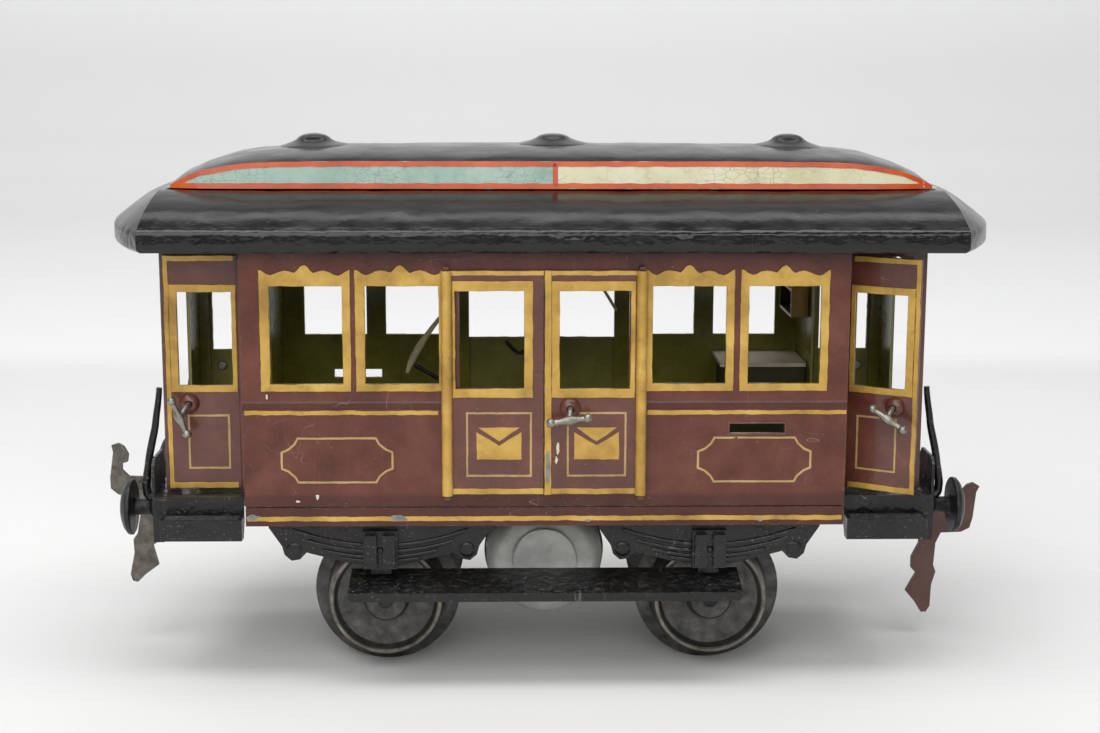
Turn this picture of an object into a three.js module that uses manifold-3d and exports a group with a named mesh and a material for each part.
// Tinplate railway mail coach for 45 mm gauge track, with a lift-off clerestory roof.
// Millimetres, +Z up, +X along the track, the near side is -Y.
// The origin is on the rail plane, under the middle of the body.
// The far side is the near side turned half a turn about Z, and so is the left end of the right end.
import * as THREE from 'three';
import { mergeVertices } from 'three/addons/utils/BufferGeometryUtils.js';
import Module from 'manifold-3d';

const wasm = await Module();
wasm.setup();

// ---- General sizes ----
const SHEET = 1.0;
const GAP = 0.3;
const THIN = 0.8;

// ---- Floor pan ----
const PAN_HALF_LENGTH = 84.8;
const PAN_HALF_WIDTH = 44.9;
const PAN_BOTTOM = 47.0;
const PAN_TOP = 52.3;
const COUPLING_PIVOT_X = 78;
const COUPLING_PIVOT_Z = 42;
const COUPLING_PIN_R = 1.1;
const LUG_INNER = 1.1;
const LUG_OUTER = 2.1;

// ---- Body ----
const BODY_HALF_LENGTH = 85;
const BODY_HALF_WIDTH = 44.4;
const WALL_BOTTOM = 52.6;
const WALL_TOP = 132;
const WINDOW_BOTTOM = 87.85;
const WINDOW_TOP = 115.45;
const WINDOWS = [[29.84, 50.37], [56.67, 76.87]];
const DOOR_OPENING = { left: -24.2, right: 23.3, bottom: 58, top: 118 };
const LETTER_SLOT = { left: 51.9, right: 67.4, bottom: 73.6, top: 76.3 };
const BULKHEAD_X = 83.9;
const BULKHEAD_ARCH = [[43.1, 131.8], [38.5, 135.4], [26.5, 138.8]];
const BULKHEAD_DOOR_HALF = 13;
const BULKHEAD_DOOR_BOTTOM = 53.8;
const END_DOOR_TOP = 118;

// ---- Vestibules ----
const VESTIBULE_OUTER_X = 109.5;
const VESTIBULE_INNER_X = 85.3;
const VESTIBULE_HALF_WIDTH = 30.2;
const VESTIBULE_BOTTOM = 54.1;
const VESTIBULE_POST_X = 105.5;
const VESTIBULE_ARCH = [[30.2, 136.9], [26.5, 138.0]];
const HEADER_BOTTOM = 122;
const HEADER_TOP = 136.6;
const VESTIBULE_DOOR_HALF = 11.5;

// ---- Vestibule doors ----
const SIDE_DOOR = { hingeX: 86.7, hingeY: -31.3, edgeX: 108.4, bottom: 54.8, top: 122.55 };
const SIDE_DOOR_WINDOW = { inner: 89.3, outer: 104.7, bottom: 85.15, top: 112.05 };
const SIDE_KNUCKLE = { radius: 1.05, bore: 0.75, wire: 0.45, top: 121.7 };
const SIDE_WIRE = { bottom: 54.1, top: 123.6, lug: 0.4 };
const SIDE_BOSS = { x: 101.9, z: 79.9, radius: 2.9, height: 1.9 };
const SIDE_DOOR_REST_OPEN = THREE.MathUtils.degToRad(31);

// ---- Centre doors ----
const LEAF = { inner: -44.8, outer: -45.6, bottom: 56.15, top: 119.95 };
const LEAF_HINGE_Y = -46.2;
const LEAF_LEFT = { hinge: -27.7, edge: -0.65, window: [-25.3, -6.1] };
const LEAF_RIGHT = { hinge: 26.7, edge: -0.35, window: [3.8, 23.6] };
const LEAF_WINDOW_BOTTOM = 86.7;
const LEAF_WINDOW_TOP = 114.25;
const LEAF_KNUCKLE = { radius: 1.5, bore: 0.8, wire: 0.5 };
const LEAF_WIRE = { bottom: 54.9, top: 121.1, lug: 0.8 };
const ASTRAGAL = { width: 1.9, height: 0.4 };
const LEAF_BOSS = { x: 6.8, z: 81.2, radius: 3, height: 2 };

// ---- Door handles ----
const STEM_R = 0.8;
const STEM_BORE_R = 1.1;
const BAR_R = 1.0;
const KNOB_R = 1.35;
const BAR_HALF_LENGTH = 5.2;

// ---- Roof ----
const ROOF_SHIFT = 2.4;
const ROOF_RINGS = [
  { w: 49.7, l: 128.2, z: 126.0, corner: 114.3 },
  { w: 50.0, l: 128.5, z: 127.2, corner: 114.3 },
  { w: 50.0, l: 128.5, z: 130.0, corner: 114.3 },
  { w: 49.0, l: 127.6, z: 131.7, corner: 114.0 },
  { w: 44.0, l: 123.5, z: 135.0, corner: 113.4 },
  { w: 38.5, l: 120.5, z: 137.3, corner: 112.9 },
  { w: 26.5, l: 114.0, z: 140.6, corner: 112.0 },
];
const ROOF_BOW_STEPS = 10;
const CLERESTORY_BASE = 140.9;
const CLERESTORY_STATIONS = [
  { x: 0, base: 26, band: 25, bandTop: 148.7, ridge: 152.6 },
  { x: 30, base: 26, band: 25, bandTop: 148.7, ridge: 152.5 },
  { x: 60, base: 26, band: 25, bandTop: 148.7, ridge: 152.3 },
  { x: 77, base: 26, band: 25, bandTop: 148.5, ridge: 151.8 },
  { x: 86.4, base: 26, band: 25, bandTop: 148.2, ridge: 151.1 },
  { x: 92, base: 25.9, band: 24.9, bandTop: 147.5, ridge: 150.3 },
  { x: 101, base: 25.2, band: 24.2, bandTop: 145.8, ridge: 147.5 },
  { x: 106.8, base: 23.6, band: 22.8, bandTop: 143.2, ridge: 145 },
  { x: 109.7, base: 22.2, band: 21.6, bandTop: 141.6, ridge: 142.6 },
  { x: 111.2, base: 20.6, band: 20.2, bandTop: 141.2, ridge: 141.5 },
];
const CLERESTORY_CROWN = [[0.86, 0.36], [0.62, 0.68], [0.32, 0.92], [0, 1]];
const CLERESTORY_HOLLOW_END = 8;
const VENTILATOR_X = { left: -70.5, centre: 0.5, right: 70.6 };
const VENTILATOR_PROFILE = [
  [0, 149], [10, 149], [10, 153.1], [8.5, 153.7], [4.5, 154.4], [3.8, 154.6], [3.6, 155.1], [0, 155.4],
];

// ---- Underframe ----
const BOARD = { halfLength: 56, rearY: -34.5, rearZ: 31.5, frontY: -50, frontZ: 28.6, lipZ: 26.1, sheet: 0.9 };
const GUARD = { x: 47.2, inner: -38, outer: -39 };
const GUARD_HALF_OUTLINE = [
  [0, 51], [32, 51], [32, 45], [28.3, 39.5], [27.6, 36.9], [25.6, 35.2], [23.2, 35.6], [21.3, 37.6],
  [5.5, 33.5], [0, 33.5],
];
const AXLE_BOX = { half: 4.9, bottom: 33.2, top: 44.4, back: -41.2, lobe: -43.5, lobeX: [1.0, 4.3], foot: 31.2 };
const AXLES = { left: -46.4, right: 48.6 };
const AXLE_Z = 21.5;
const AXLE_R = 2.0;
const AXLE_HALF_LENGTH = 34.4;
const BORE_R = 2.3;
const HANGER = { half: 4.2, inner: 11, outer: 12, bottom: 16.5, shoulder: 19, top: 51 };
const WHEEL_SEGMENTS = 24;
const WHEEL_PROFILE = [
  [BORE_R, 20.8], [20.8, 20.5], [21.5, 21.1], [21.5, 21.9], [17.6, 22.9], [16.3, 33.0], [15.1, 33.0],
  [14.5, 30.2], [7.0, 29.4], [6.2, 33.8], [BORE_R, 33.8], [BORE_R, 20.8],
];
const TANK = { z: 33, strapY: [17.5, 20.5], strapHalf: 3, strapTop: 51 };
const TANK_PROFILE = [[0, -32.6], [9.2, -32.6], [9.5, -31.2], [13.4, -30.4], [17.2, -26]];
const TANK_SEGMENTS = 28;

// ---- Platforms ----
const PLATFORM = { inner: 85.3, outer: 112, halfWidth: 38, bottom: 52.8, top: 53.8 };
const STEP = { inner: 86.2, outer: 109.3, treadTop: 48.4, edge: 43.7, bottom: 42.3, heel: 37.2 };
const END_SHEET = { inner: 111.8, outer: 112.6, halfWidth: 36, bottom: 40, top: 54, horn: 64.4, hornInner: 20 };
const END_SHEET_RETURN = 109.6;
const COUPLING_SLOT = { half: 2.5, top: 52 };

// ---- End fittings ----
const BUFFER = { y: 30, z: 49, shank: 2.4, start: 112.9, back: 119, face: 122.8, radius: 8.1 };
const RAIL_R = 0.8;
const RAIL_PATH = [
  [113.0, 52.6], [114.5, 52.3], [115.3, 54.5], [115.1, 58], [114.6, 61], [114.1, 64.4], [113.1, 69],
  [112.3, 72.5], [111.8, 76], [111.3, 79], [110.9, 82], [110.7, 84.2],
];
const COUPLING_HALF_THICKNESS = 0.7;
const COUPLING_EYE_R = 1.45;
const COUPLING_OUTLINE = [
  [75, 44.3], [117.6, 44.3], [120.3, 48.5], [121.6, 45.6], [128, 45], [130.3, 46.8], [130.4, 48.9],
  [128.9, 49.5], [128.8, 51.8], [130.4, 54.1], [132.2, 54.9], [134.2, 54], [133.5, 52], [133.7, 44],
  [133.2, 40.6], [130.8, 39], [124.6, 38], [123.5, 34.5], [123.9, 27.5], [125, 25.4], [124.3, 21.2],
  [124.9, 14.2], [124, 12.2], [122.4, 12], [120.2, 14.8], [116.6, 18.2], [118.9, 24.2], [117.1, 25.8],
  [116.7, 29.2], [118.3, 33.8], [117.8, 40], [75, 40], [74.2, 41.2], [74.2, 43.1],
];
const COUPLING_REST = THREE.MathUtils.degToRad(7);
const COUPLING_LEFT_SET_BACK = 0.8;

// ---- Interior ----
const COUNTER = { left: 58, right: 83.5, front: 20, back: 43, top: 82.5, slab: 1.2, overhang: 1.6, wall: 1 };
const RACK = { left: 78.2, right: 83.6, front: 18, back: 43, bottom: 97.1, top: 122.2, shelves: 3, wall: 0.8 };

// ---- Materials ----
const PAINT = {
  brown: ['#6b443c', 0.35, 0.1],
  darkBrown: ['#55332c', 0.35, 0.1],
  black: ['#141414', 0.3, 0.1],
  chassis: ['#1c1a19', 0.4, 0.2],
  band: ['#cfc7a2', 0.5, 0],
  grey: ['#85858a', 0.5, 0.3],
  wheel: ['#4b4541', 0.5, 0.4],
  tin: ['#8c8474', 0.4, 0.8],
  steel: ['#6e6c6a', 0.4, 0.8],
  redBrown: ['#5c3a33', 0.5, 0.3],
  cream: ['#b9b196', 0.6, 0],
  ochre: ['#7a5a2c', 0.6, 0],
};

// ---- Solid helpers ----

// A closed solid from a three.js geometry, facing out.
function solid(geometry) {
  const bare = geometry.index ? geometry : geometry.clone();
  bare.deleteAttribute('normal');
  bare.deleteAttribute('uv');
  const merged = mergeVertices(bare, 1e-4);
  const at = merged.getAttribute('position');
  const index = Array.from(merged.index.array);
  const kept = [];
  let volume = 0;
  for (let i = 0; i < index.length; i += 3) {
    const [a, b, c] = index.slice(i, i + 3);
    if (a === b || b === c || a === c) continue;
    kept.push(a, b, c);
    const p = [a, b, c].map((k) => new THREE.Vector3().fromBufferAttribute(at, k));
    volume += p[0].dot(p[1].cross(p[2]));
  }
  if (volume < 0) kept.reverse();
  const mesh = new wasm.Mesh({
    numProp: 3,
    vertProperties: new Float32Array(at.array),
    triVerts: new Uint32Array(kept),
  });
  return new wasm.Manifold(mesh);
}

// A box between two corners, given in any order.
function block(x0, x1, y0, y1, z0, z1) {
  const geometry = new THREE.BoxGeometry(Math.abs(x1 - x0), Math.abs(y1 - y0), Math.abs(z1 - z0));
  geometry.translate((x0 + x1) / 2, (y0 + y1) / 2, (z0 + z1) / 2);
  return solid(geometry);
}

// Axes of an outline and of its thickness, for prisms along X, Y and Z.
const PRISM_BASIS = {
  x: new THREE.Matrix4().makeBasis(
    new THREE.Vector3(0, 1, 0), new THREE.Vector3(0, 0, 1), new THREE.Vector3(1, 0, 0)),
  y: new THREE.Matrix4().makeBasis(
    new THREE.Vector3(1, 0, 0), new THREE.Vector3(0, 0, 1), new THREE.Vector3(0, -1, 0)),
  z: new THREE.Matrix4(),
};

// An outline of [first, second] axis values swept along the remaining axis from lo to hi.
function prism(axis, outline, lo, hi) {
  const shape = new THREE.Shape(outline.map(([a, b]) => new THREE.Vector2(a, b)));
  const geometry = new THREE.ExtrudeGeometry(shape, { depth: hi - lo, bevelEnabled: false });
  geometry.applyMatrix4(PRISM_BASIS[axis]);
  const start = axis === 'y' ? hi : lo;
  const offset = { x: [start, 0, 0], y: [0, start, 0], z: [0, 0, start] }[axis];
  geometry.translate(...offset);
  return solid(geometry);
}

// A round rod between two points.
function rod(from, to, radius, sides = 10) {
  const a = new THREE.Vector3(...from);
  const b = new THREE.Vector3(...to);
  const geometry = new THREE.CylinderGeometry(radius, radius, a.distanceTo(b), sides);
  const turn = new THREE.Quaternion().setFromUnitVectors(new THREE.Vector3(0, 1, 0), b.clone().sub(a).normalize());
  geometry.applyQuaternion(turn);
  const middle = a.add(b).multiplyScalar(0.5);
  geometry.translate(middle.x, middle.y, middle.z);
  return solid(geometry);
}

// A small ball.
function ball(centre, radius) {
  const geometry = new THREE.SphereGeometry(radius, 6, 4);
  geometry.translate(...centre);
  return solid(geometry);
}

// A profile of [radius, height] turned about the Y axis.
function turnedY(profile, sides) {
  return solid(new THREE.LatheGeometry(profile.map(([r, h]) => new THREE.Vector2(r, h)), sides));
}

// A profile of [radius, height] turned about the Z axis.
function turnedZ(profile, sides) {
  const geometry = new THREE.LatheGeometry(profile.map(([r, h]) => new THREE.Vector2(r, h)), sides);
  geometry.rotateX(Math.PI / 2);
  return solid(geometry);
}

// A solid skinned over rings of the same number of points, with flat ends.
function loft(rings) {
  const count = rings[0].length;
  const index = [];
  for (let r = 0; r < rings.length - 1; r += 1) {
    for (let i = 0; i < count; i += 1) {
      const j = (i + 1) % count;
      const [a, b, c, d] = [r * count + i, r * count + j, (r + 1) * count + j, (r + 1) * count + i];
      index.push(a, b, c, a, c, d);
    }
  }
  const last = (rings.length - 1) * count;
  for (let i = 1; i < count - 1; i += 1) {
    index.push(0, i + 1, i);
    index.push(last, last + i, last + i + 1);
  }
  const geometry = new THREE.BufferGeometry();
  geometry.setAttribute('position', new THREE.Float32BufferAttribute(rings.flat(2), 3));
  geometry.setIndex(index);
  return solid(geometry);
}

// All the solids of a list as one.
function joined(solids) {
  return solids.reduce((sum, next) => sum.add(next));
}

// ---- Scene helpers ----
const coach = new THREE.Group();
coach.name = 'mail_coach';
const near = new THREE.Group();
const far = new THREE.Group();
far.rotation.z = Math.PI;
coach.add(near, far);

// Adds one named sub-part to a group.
function place(group, name, body, paint) {
  const { vertProperties, triVerts } = body.getMesh();
  const geometry = new THREE.BufferGeometry();
  geometry.setAttribute('position', new THREE.Float32BufferAttribute(vertProperties, 3));
  geometry.setIndex(new THREE.Uint32BufferAttribute(triVerts, 1));
  geometry.computeVertexNormals();
  const [color, roughness, metalness] = PAINT[paint];
  const mesh = new THREE.Mesh(geometry, new THREE.MeshStandardMaterial({ color, roughness, metalness }));
  mesh.name = name;
  group.add(mesh);
}

// Adds the same sub-part to the near side and, half a turn round, to the far side.
function placeBoth(nearName, farName, body, paint) {
  place(near, nearName, body, paint);
  place(far, farName, body, paint);
}

// A group turned about one axis through a pivot, whose children keep the coordinates of their parent.
function pivoted(parent, pivot, axis, angle) {
  const outer = new THREE.Group();
  outer.position.set(...pivot);
  outer.rotation[axis] = angle;
  const inner = new THREE.Group();
  inner.position.set(-pivot[0], -pivot[1], -pivot[2]);
  outer.add(inner);
  parent.add(outer);
  return inner;
}

// ---- Body pieces ----

// Floor plate with down-turned edges, and the lugs and pins of both couplings.
function floorPan() {
  const below = PAN_BOTTOM - GAP;
  const inside = block(
    -PAN_HALF_LENGTH + SHEET, PAN_HALF_LENGTH - SHEET,
    -PAN_HALF_WIDTH + SHEET, PAN_HALF_WIDTH - SHEET, below, PAN_TOP - SHEET);
  const pan = block(
    -PAN_HALF_LENGTH, PAN_HALF_LENGTH, -PAN_HALF_WIDTH, PAN_HALF_WIDTH, PAN_BOTTOM, PAN_TOP).subtract(inside);
  const pieces = [pan];
  for (const end of [-1, 1]) {
    const x = end * COUPLING_PIVOT_X;
    for (const side of [-1, 1]) {
      pieces.push(block(
        x - 2.6, x + 2.6, side * LUG_INNER, side * LUG_OUTER, COUPLING_PIVOT_Z - 2.4, PAN_TOP - SHEET / 2));
    }
    pieces.push(rod(
      [x, -LUG_OUTER, COUPLING_PIVOT_Z], [x, LUG_OUTER, COUPLING_PIVOT_Z], COUPLING_PIN_R, 12));
  }
  return joined(pieces);
}

// Side wall sheet with four windows, the doorway and the letter slot.
function sideWall() {
  const outer = -BODY_HALF_WIDTH - GAP;
  const inner = -BODY_HALF_WIDTH + SHEET + GAP;
  let wall = block(
    -BODY_HALF_LENGTH, BODY_HALF_LENGTH, -BODY_HALF_WIDTH, -BODY_HALF_WIDTH + SHEET, WALL_BOTTOM, WALL_TOP);
  for (const side of [-1, 1]) {
    for (const [from, to] of WINDOWS) {
      wall = wall.subtract(block(side * from, side * to, outer, inner, WINDOW_BOTTOM, WINDOW_TOP));
    }
  }
  for (const hole of [DOOR_OPENING, LETTER_SLOT]) {
    wall = wall.subtract(block(hole.left, hole.right, outer, inner, hole.bottom, hole.top));
  }
  return wall;
}

// An arch-topped outline across the coach, from its bottom edge and its right-hand arch points.
function archOutline(halfWidth, bottom, arch) {
  const mirrored = arch.map(([y, z]) => [-y, z]).reverse();
  return [[-halfWidth, bottom], [halfWidth, bottom], ...arch, ...mirrored];
}

// Body end sheet with its doorway and the hinge wires of the two vestibule doors.
function bulkhead() {
  const outline = archOutline(BULKHEAD_ARCH[0][0], WALL_BOTTOM, BULKHEAD_ARCH);
  const face = BULKHEAD_X + SHEET;
  const doorway = block(
    BULKHEAD_X - GAP, face + GAP, -BULKHEAD_DOOR_HALF, BULKHEAD_DOOR_HALF, BULKHEAD_DOOR_BOTTOM, END_DOOR_TOP);
  const pieces = [prism('x', outline, BULKHEAD_X, face).subtract(doorway)];
  const { hingeX, hingeY } = SIDE_DOOR;
  for (const side of [-1, 1]) {
    const y = side * hingeY;
    const lugEnd = hingeX + SIDE_KNUCKLE.wire;
    pieces.push(rod([hingeX, y, SIDE_WIRE.bottom], [hingeX, y, SIDE_WIRE.top], SIDE_KNUCKLE.wire, 8));
    for (const z of [SIDE_WIRE.bottom, SIDE_WIRE.top - SIDE_WIRE.lug]) {
      pieces.push(block(
        face - SHEET / 2, lugEnd, y - SIDE_KNUCKLE.wire, y + SIDE_KNUCKLE.wire, z, z + SIDE_WIRE.lug));
    }
  }
  return joined(pieces);
}

// End wall of a vestibule with its corner posts and side headers, as one bent sheet.
function vestibule() {
  const inner = VESTIBULE_OUTER_X - SHEET;
  const outline = archOutline(VESTIBULE_HALF_WIDTH, VESTIBULE_BOTTOM, VESTIBULE_ARCH);
  const doorway = block(
    inner - GAP, VESTIBULE_OUTER_X + GAP, -VESTIBULE_DOOR_HALF, VESTIBULE_DOOR_HALF,
    VESTIBULE_BOTTOM - GAP, END_DOOR_TOP);
  const pieces = [prism('x', outline, inner, VESTIBULE_OUTER_X).subtract(doorway)];
  for (const side of [-1, 1]) {
    const outer = side * VESTIBULE_HALF_WIDTH;
    const back = side * (VESTIBULE_HALF_WIDTH - SHEET);
    pieces.push(block(VESTIBULE_POST_X, VESTIBULE_OUTER_X, outer, back, VESTIBULE_BOTTOM, HEADER_TOP));
    pieces.push(block(VESTIBULE_INNER_X, VESTIBULE_OUTER_X, outer, back, HEADER_BOTTOM, HEADER_TOP));
  }
  return joined(pieces);
}

// End platform with its buffer beam sheet and the two steps on each side.
function platform() {
  const { inner, outer, halfWidth, bottom, top } = PLATFORM;
  const sheet = END_SHEET;
  const hornTop = sheet.horn - 2;
  const right = [
    [sheet.halfWidth, sheet.bottom], [sheet.halfWidth, hornTop], [sheet.halfWidth - 2, sheet.horn],
    [sheet.hornInner + 2, sheet.horn], [sheet.hornInner, hornTop], [sheet.hornInner, sheet.top],
  ];
  const left = right.map(([y, z]) => [-y, z]).reverse();
  const slot = block(
    sheet.inner - GAP, sheet.outer + GAP, -COUPLING_SLOT.half, COUPLING_SLOT.half,
    sheet.bottom - GAP, COUPLING_SLOT.top);
  const pieces = [
    block(inner, outer, -halfWidth, halfWidth, bottom, top),
    prism('x', [...right, ...left], sheet.inner, sheet.outer).subtract(slot),
  ];
  const end = [
    [STEP.heel, top - THIN], [STEP.heel, STEP.treadTop - 2], [STEP.heel + 2.8, STEP.bottom],
    [STEP.edge, STEP.bottom], [STEP.edge, STEP.treadTop], [halfWidth, STEP.treadTop], [halfWidth, top - THIN],
  ];
  for (const side of [-1, 1]) {
    const heel = side * STEP.heel;
    const edge = side * STEP.edge;
    pieces.push(block(STEP.inner, STEP.outer, heel, side * halfWidth, STEP.treadTop - THIN, top));
    pieces.push(block(STEP.inner, STEP.outer, heel, edge, STEP.treadTop - THIN, STEP.treadTop));
    pieces.push(block(STEP.inner, STEP.outer, side * (STEP.edge - THIN), edge, STEP.bottom, STEP.treadTop));
    const outline = end.map(([y, z]) => [side * y, z]);
    pieces.push(prism('x', outline, STEP.inner, STEP.inner + THIN));
    pieces.push(prism('x', outline, STEP.outer - THIN, STEP.outer));
    pieces.push(block(
      END_SHEET_RETURN, sheet.outer, side * (sheet.halfWidth - THIN), side * sheet.halfWidth,
      sheet.bottom, sheet.top));
  }
  return joined(pieces);
}

// ---- Roof pieces ----

// One closed ring of the roof: straight eaves and bowed ends. A set-in gives the ring of the inside face.
function roofRing({ w, l, z, corner }, setIn) {
  const half = w - setIn;
  const end = l - setIn;
  const cornerX = corner - setIn;
  const bow = [];
  for (let i = 0; i <= ROOF_BOW_STEPS; i += 1) {
    const t = (2 * i) / ROOF_BOW_STEPS - 1;
    bow.push([end - (end - cornerX) * t * t, half * t]);
  }
  const outline = [...bow, ...bow.map(([x, y]) => [-x, -y])];
  return outline.map(([x, y]) => [x + ROOF_SHIFT, y, z - setIn]);
}

function roofShell() {
  const outside = loft(ROOF_RINGS.map((ring) => roofRing(ring, 0)));
  const inside = loft(ROOF_RINGS.map((ring) => roofRing(ring, SHEET)));
  return outside.subtract(inside);
}

// Cross-section of the raised middle roof at one station. A set-in gives the inside face.
function clerestorySection({ x, base, band, bandTop, ridge }, sign, setIn) {
  const half = [[base - setIn, CLERESTORY_BASE - setIn], [band - setIn, bandTop - setIn]];
  for (const [across, up] of CLERESTORY_CROWN) {
    half.push([across * (band - setIn), bandTop + up * (ridge - bandTop) - setIn]);
  }
  const other = half.slice(0, -1).map(([y, z]) => [-y, z]).reverse();
  return [...half, ...other].map(([y, z]) => [sign * x + ROOF_SHIFT, y, z]);
}

function clerestorySolid(setIn, stations) {
  const leftHalf = stations.slice(1).reverse().map((station) => clerestorySection(station, -1, setIn));
  const rightHalf = stations.map((station) => clerestorySection(station, 1, setIn));
  return loft([...leftHalf, ...rightHalf]);
}

function clerestory() {
  const hollow = clerestorySolid(SHEET, CLERESTORY_STATIONS.slice(0, CLERESTORY_HOLLOW_END));
  return clerestorySolid(0, CLERESTORY_STATIONS).subtract(hollow);
}

// Round cap that lies on the curved deck.
function ventilator(x) {
  const deck = clerestorySolid(0, CLERESTORY_STATIONS).translate([0, 0, GAP]);
  return turnedZ(VENTILATOR_PROFILE, 18).translate([x + ROOF_SHIFT, 0, 0]).subtract(deck);
}

// ---- Doors ----

// Half-round boss standing on the outer face of a door.
function doorBoss({ x, z, radius, height }, face) {
  const profile = [[0, 0], [radius, 0], [radius * 0.92, height * 0.45], [radius * 0.6, height], [0, height]];
  return turnedY(profile, 14).rotate([180, 0, 0]).translate([x, face + 0.05, z]);
}

// Centre door leaf with its rolled hinge edge and window.
function centreLeaf({ hinge, edge, window }) {
  const { inner, outer, bottom, top } = LEAF;
  const plate = block(hinge, edge, inner, outer, bottom, top);
  const knuckle = rod([hinge, LEAF_HINGE_Y, bottom], [hinge, LEAF_HINGE_Y, top], LEAF_KNUCKLE.radius, 12);
  const bore = rod([hinge, LEAF_HINGE_Y, bottom - 1], [hinge, LEAF_HINGE_Y, top + 1], LEAF_KNUCKLE.bore, 10);
  const hole = block(window[0], window[1], inner + GAP, outer - GAP, LEAF_WINDOW_BOTTOM, LEAF_WINDOW_TOP);
  return plate.add(knuckle).subtract(bore).subtract(hole);
}

// Right leaf: the same, with the strip that covers the joint and the boss of the handle.
function rightLeaf() {
  const { outer, bottom, top, inner } = LEAF;
  const { x, z } = LEAF_BOSS;
  const strip = block(
    LEAF_RIGHT.edge, LEAF_RIGHT.edge + ASTRAGAL.width, outer - ASTRAGAL.height, outer + SHEET / 4, bottom, top);
  const bore = rod([x, inner + 1, z], [x, outer - LEAF_BOSS.height - 1, z], STEM_BORE_R, 10);
  return centreLeaf(LEAF_RIGHT).add(strip).add(doorBoss(LEAF_BOSS, outer)).subtract(bore);
}

// Wire hinge pin of a centre leaf, with its two lugs toward the wall.
function hingePin(x) {
  const { bottom, top, lug } = LEAF_WIRE;
  const wallSide = -BODY_HALF_WIDTH - GAP;
  const pieces = [rod([x, LEAF_HINGE_Y, bottom], [x, LEAF_HINGE_Y, top], LEAF_KNUCKLE.wire, 8)];
  for (const z of [bottom, top - lug]) {
    pieces.push(block(x - lug, x + lug, LEAF_HINGE_Y - LEAF_KNUCKLE.wire, wallSide, z, z + lug));
  }
  return joined(pieces);
}

// Vestibule door, shut, at the right (side 1) or left (side -1) end of the near side.
function vestibuleDoor(side) {
  const { hingeX, hingeY, edgeX, bottom, top } = SIDE_DOOR;
  const inner = hingeY + THIN;
  const hinge = side * hingeX;
  const plate = block(hinge, side * edgeX, inner, hingeY, bottom, top);
  const knuckle = rod([hinge, hingeY, bottom], [hinge, hingeY, SIDE_KNUCKLE.top], SIDE_KNUCKLE.radius, 12);
  const bore = rod([hinge, hingeY, bottom - 1], [hinge, hingeY, top + 1], SIDE_KNUCKLE.bore, 10);
  const hole = block(
    side * SIDE_DOOR_WINDOW.inner, side * SIDE_DOOR_WINDOW.outer, inner + GAP, hingeY - GAP,
    SIDE_DOOR_WINDOW.bottom, SIDE_DOOR_WINDOW.top);
  const x = side * SIDE_BOSS.x;
  const stem = rod([x, inner + 1, SIDE_BOSS.z], [x, hingeY - SIDE_BOSS.height - 1, SIDE_BOSS.z], STEM_BORE_R, 10);
  const boss = doorBoss({ ...SIDE_BOSS, x }, hingeY);
  return plate.add(knuckle).add(boss).subtract(bore).subtract(hole).subtract(stem);
}

// T-handle: a stem through the door, a cranked neck and a bar with knobs.
function tHandle({ x, z, inner, collar, bar, direction }) {
  const centre = new THREE.Vector3(...bar);
  const along = new THREE.Vector3(direction[0], 0, direction[1]).normalize().multiplyScalar(BAR_HALF_LENGTH);
  const tips = [centre.clone().add(along), centre.clone().sub(along)].map((tip) => tip.toArray());
  return joined([
    rod([x, inner, z], [x, collar, z], STEM_R, 8),
    rod([x, collar + STEM_R, z], bar, STEM_R, 6),
    rod(tips[0], tips[1], BAR_R, 6),
    ball(tips[0], KNOB_R),
    ball(tips[1], KNOB_R),
  ]);
}

// Centre door handle, with the two-armed latch on its inner end.
function centreHandle() {
  const { x, z } = LEAF_BOSS;
  const inner = LEAF.inner + 1.1;
  const handle = tHandle({
    x, z, inner, collar: LEAF.outer - 3, bar: [6.45, -50.2, 78.5], direction: [0.991, 0.132],
  });
  const latch = [];
  for (const side of [-1, 1]) {
    latch.push(rod([x, inner, z], [x + side * 4.4, inner, z + 4.4], 0.6, 6));
  }
  return joined([handle, ...latch]);
}

// Vestibule door handle with a riveted inner end.
function sideHandle(side, offset, direction) {
  const x = side * SIDE_BOSS.x;
  const z = SIDE_BOSS.z;
  const inner = SIDE_DOOR.hingeY + THIN + GAP;
  const handle = tHandle({
    x, z, inner, collar: SIDE_DOOR.hingeY - 3.2,
    bar: [x + offset[0], SIDE_DOOR.hingeY - 6, z + offset[1]], direction,
  });
  return handle.add(rod([x, inner, z], [x, inner + 0.5, z], STEM_R * 2, 10));
}

// ---- Underframe pieces ----

// Sloping step board with a turned-down front edge.
function runningBoard() {
  const { halfLength, rearY, rearZ, frontY, frontZ, lipZ, sheet } = BOARD;
  const section = [
    [rearY, rearZ], [frontY, frontZ], [frontY, lipZ], [frontY + sheet, lipZ],
    [frontY + sheet, frontZ - sheet], [rearY, rearZ - sheet],
  ];
  const corner = (side) => prism('y', [
    [side * (halfLength + 1), lipZ - 1], [side * (halfLength - 1.8), lipZ - 1], [side * (halfLength + 1), lipZ + 2.2],
  ], frontY - 1, frontY + 2);
  return prism('x', section, -halfLength, halfLength).subtract(corner(1)).subtract(corner(-1));
}

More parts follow.
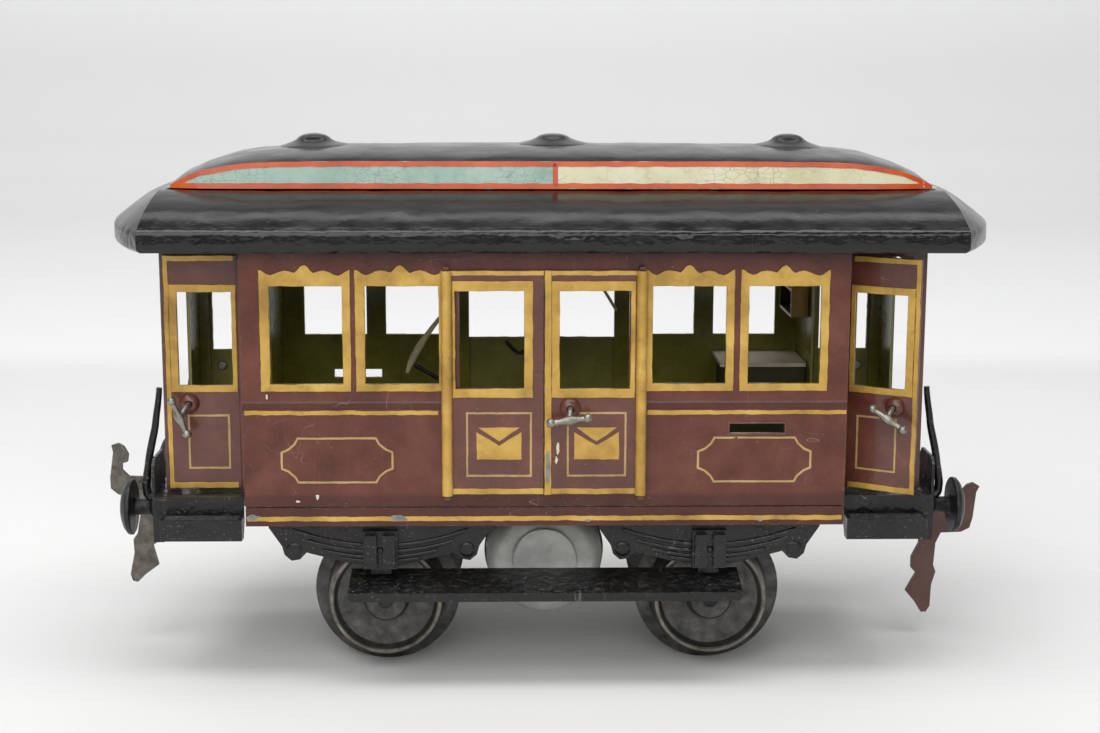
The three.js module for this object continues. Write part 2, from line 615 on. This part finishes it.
// Axle guard plate with its axle box casting.
function axleGuard(side) {
  const centre = side * GUARD.x;
  const right = GUARD_HALF_OUTLINE.slice(1, -1);
  const left = right.map(([x, z]) => [-x, z]).reverse();
  const outline = [...right, ...left].map(([x, z]) => [x + centre, z]);
  const pieces = [prism('y', outline, GUARD.outer, GUARD.inner)];
  const { half, bottom, top, back, lobe, lobeX, foot } = AXLE_BOX;
  const face = GUARD.outer + SHEET / 2;
  pieces.push(block(centre - half, centre + half, face, back, bottom, top));
  pieces.push(block(centre - half * 0.6, centre + half * 0.6, GUARD.inner, GUARD.outer, foot, bottom + 1));
  for (const [from, to] of [lobeX, lobeX.map((x) => -x)]) {
    pieces.push(block(centre + from, centre + to, back + 0.2, lobe, bottom + 0.8, top - 0.8));
  }
  return joined(pieces);
}

// Gas tank across the coach, with the two straps it hangs by.
function gasTank() {
  const mirrored = TANK_PROFILE.map(([r, y]) => [r, -y]).reverse();
  const barrel = turnedY([...TANK_PROFILE, ...mirrored], TANK_SEGMENTS).translate([0, 0, TANK.z]);
  const pieces = [barrel];
  for (const side of [-1, 1]) {
    const [from, to] = TANK.strapY;
    pieces.push(block(-TANK.strapHalf, TANK.strapHalf, side * from, side * to, TANK.z + 14, TANK.strapTop));
  }
  return joined(pieces);
}

// Inverted U that carries an axle under the floor.
function axleHanger(x) {
  const { half, inner, outer, bottom, shoulder, top } = HANGER;
  const cheek = [
    [x - half, top], [x - half, shoulder], [x - half * 0.5, bottom], [x + half * 0.5, bottom],
    [x + half, shoulder], [x + half, top],
  ];
  const bore = rod([x, -outer - 1, AXLE_Z], [x, outer + 1, AXLE_Z], BORE_R, 16);
  const pieces = [block(x - half, x + half, -outer, outer, top - SHEET, top)];
  pieces.push(prism('y', cheek, inner, outer));
  pieces.push(prism('y', cheek, -outer, -inner));
  return joined(pieces).subtract(bore);
}

function axle(x) {
  return rod([x, -AXLE_HALF_LENGTH, AXLE_Z], [x, AXLE_HALF_LENGTH, AXLE_Z], AXLE_R, 16);
}

// Flanged wheel on the near side, with its dished face toward -Y and a corner at the rail.
function wheel(x) {
  return turnedY(WHEEL_PROFILE.map(([r, y]) => [r, -y]), WHEEL_SEGMENTS).translate([x, 0, AXLE_Z]);
}

// ---- End fittings ----

// Buffer at the right end: shank and domed head.
function buffer(y) {
  const { z, shank, start, back, face, radius } = BUFFER;
  const profile = [
    [0, start], [shank, start], [shank, back], [radius, back], [radius, back + 1.2],
    [radius * 0.75, face - 0.7], [radius * 0.4, face - 0.15], [0, face],
  ];
  const geometry = new THREE.LatheGeometry(profile.map(([r, h]) => new THREE.Vector2(r, h)), 16);
  geometry.rotateZ(-Math.PI / 2);
  geometry.translate(0, y, z);
  return solid(geometry);
}

// Bent handrail rod at the right end.
function handrail(y) {
  const curve = new THREE.CatmullRomCurve3(RAIL_PATH.map(([x, z]) => new THREE.Vector3(x, y, z)));
  const section = new THREE.Shape();
  section.absarc(0, 0, RAIL_R, 0, Math.PI * 2);
  const geometry = new THREE.ExtrudeGeometry(section, { steps: 13, curveSegments: 3, extrudePath: curve });
  return solid(geometry);
}

// Flat coupling plate at the right end, level, with its hook, weighted arm and eye.
function coupling(setBack) {
  const outline = COUPLING_OUTLINE.map(([x, z]) => [x - (x > COUPLING_PIVOT_X + 20 ? setBack : 0), z]);
  const eye = rod(
    [COUPLING_PIVOT_X, -2, COUPLING_PIVOT_Z], [COUPLING_PIVOT_X, 2, COUPLING_PIVOT_Z], COUPLING_EYE_R, 12);
  return prism('y', outline, -COUPLING_HALF_THICKNESS, COUPLING_HALF_THICKNESS).subtract(eye);
}

// ---- Interior pieces ----

// Sorting counter against the right bulkhead and the far wall, open below.
function sortingCounter() {
  const { left, right, front, back, top, slab, overhang, wall } = COUNTER;
  const floor = PAN_TOP + GAP;
  const box = block(left, right, front, back, floor, top - slab / 2);
  const inside = block(left + wall, right - wall, front + wall, back - wall, floor - 1, top - slab - wall);
  const board = block(left - overhang, right, front - overhang, back, top - slab, top);
  return box.add(board).subtract(inside);
}

// Letter rack on the right bulkhead, open toward the middle of the coach.
function letterRack() {
  const { left, right, front, back, bottom, top, shelves, wall } = RACK;
  const pitch = (top - bottom - wall) / shelves;
  let rack = block(left, right, front, back, bottom, top);
  for (let shelf = 0; shelf < shelves; shelf += 1) {
    const z = bottom + wall + shelf * pitch;
    rack = rack.subtract(block(left - 1, right - wall, front + wall, back - wall, z, z + pitch - wall));
  }
  return rack;
}

// ---- Assembly ----
place(coach, 'floor_pan', floorPan(), 'chassis');
placeBoth('platform_right', 'platform_left', platform(), 'chassis');
placeBoth('side_wall_near', 'side_wall_far', sideWall(), 'brown');
placeBoth('bulkhead_right', 'bulkhead_left', bulkhead(), 'darkBrown');
placeBoth('vestibule_right', 'vestibule_left', vestibule(), 'brown');

place(coach, 'roof_shell', roofShell(), 'black');
place(coach, 'clerestory', clerestory(), 'band');
for (const [where, x] of Object.entries(VENTILATOR_X)) {
  place(coach, `ventilator_${where}`, ventilator(x), 'black');
}

placeBoth('leaf_near_left', 'leaf_far_right', centreLeaf(LEAF_LEFT), 'brown');
placeBoth('leaf_near_right', 'leaf_far_left', rightLeaf(), 'brown');
placeBoth('hinge_pin_near_left', 'hinge_pin_far_right', hingePin(LEAF_LEFT.hinge), 'tin');
placeBoth('hinge_pin_near_right', 'hinge_pin_far_left', hingePin(LEAF_RIGHT.hinge), 'tin');
placeBoth('leaf_handle_near', 'leaf_handle_far', centreHandle(), 'tin');

placeBoth('door_near_left', 'door_far_right', vestibuleDoor(-1), 'brown');
placeBoth('door_handle_near_left', 'door_handle_far_right', sideHandle(-1, [-2, -3], [0.39, -0.92]), 'tin');
const rightDoor = vestibuleDoor(1);
const rightHandle = sideHandle(1, [0, -2.5], [0.87, -0.5]);
const openDoor = pivoted(near, [SIDE_DOOR.hingeX, SIDE_DOOR.hingeY, 0], 'z', -SIDE_DOOR_REST_OPEN);
place(openDoor, 'door_near_right', rightDoor, 'brown');
place(openDoor, 'door_handle_near_right', rightHandle, 'tin');
place(far, 'door_far_left', rightDoor, 'brown');
place(far, 'door_handle_far_left', rightHandle, 'tin');

placeBoth('running_board_near', 'running_board_far', runningBoard(), 'chassis');
placeBoth('axle_guard_near_right', 'axle_guard_far_left', axleGuard(1), 'chassis');
placeBoth('axle_guard_near_left', 'axle_guard_far_right', axleGuard(-1), 'chassis');
place(coach, 'gas_tank', gasTank(), 'grey');
for (const [where, x] of Object.entries(AXLES)) {
  place(coach, `axle_hanger_${where}`, axleHanger(x), 'chassis');
  place(coach, `axle_${where}`, axle(x), 'steel');
  place(near, `wheel_near_${where}`, wheel(x), 'wheel');
  place(far, `wheel_far_${where}`, wheel(-x), 'wheel');
}

placeBoth('buffer_near_right', 'buffer_far_left', buffer(-BUFFER.y), 'steel');
placeBoth('buffer_far_right', 'buffer_near_left', buffer(BUFFER.y), 'steel');
placeBoth('handrail_near_right', 'handrail_far_left', handrail(-BUFFER.y), 'tin');
placeBoth('handrail_far_right', 'handrail_near_left', handrail(BUFFER.y), 'tin');
const pivot = [COUPLING_PIVOT_X, 0, COUPLING_PIVOT_Z];
place(pivoted(near, pivot, 'y', COUPLING_REST), 'coupling_right', coupling(0), 'redBrown');
place(pivoted(far, pivot, 'y', -COUPLING_REST), 'coupling_left', coupling(COUPLING_LEFT_SET_BACK), 'steel');

place(coach, 'sorting_counter', sortingCounter(), 'cream');
place(coach, 'letter_rack', letterRack(), 'ochre');

export default coach;
